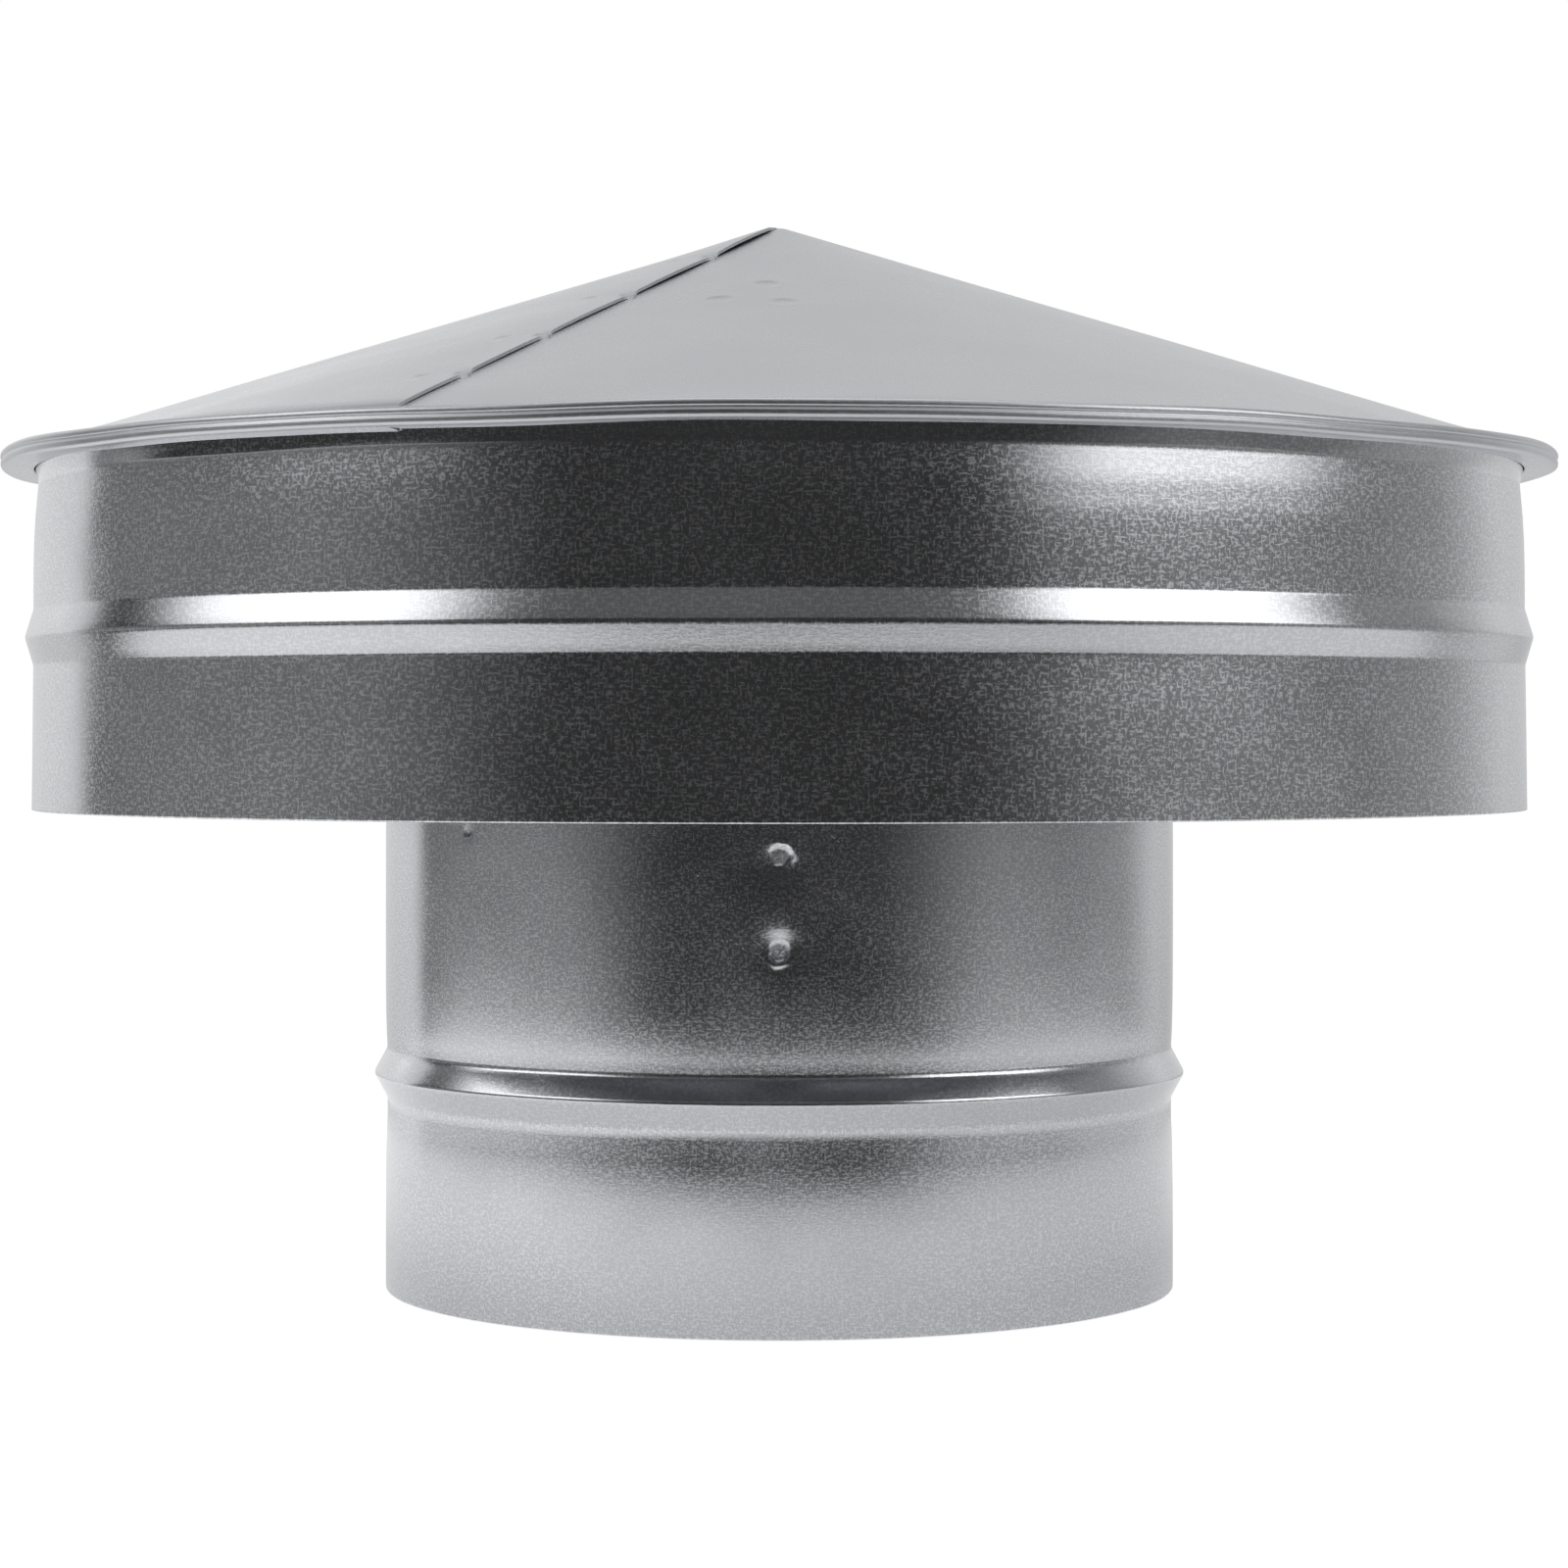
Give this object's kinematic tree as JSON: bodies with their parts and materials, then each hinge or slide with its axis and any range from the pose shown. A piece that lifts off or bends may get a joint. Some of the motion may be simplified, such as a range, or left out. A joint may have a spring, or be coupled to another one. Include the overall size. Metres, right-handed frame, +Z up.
{
  "type": "roof vent cap",
  "caption": "Sheet-metal roof vent cap: a beaded spigot collar for a round duct carries, on inner straps, a conical roof with a wind band hemmed into its rim.",
  "frame": {"origin": "centre of the collar's bottom rim", "axes": "+Z up the duct's axis to the roof's tip, -Y is the front with the strap's weld marks, +X to its right"},
  "size_m": [0.3114, 0.3114, 0.2145],
  "materials": {
    "sheet": "satin galvanised",
    "strap": "satin galvanised"
  },
  "bodies": {
    "root": {"spigot_collar": "sheet", "wind_band": "sheet", "roof_cone": "sheet", "strap_front": "strap", "strap_left": "strap", "strap_right": "strap"}
  },
  "joints": []
}
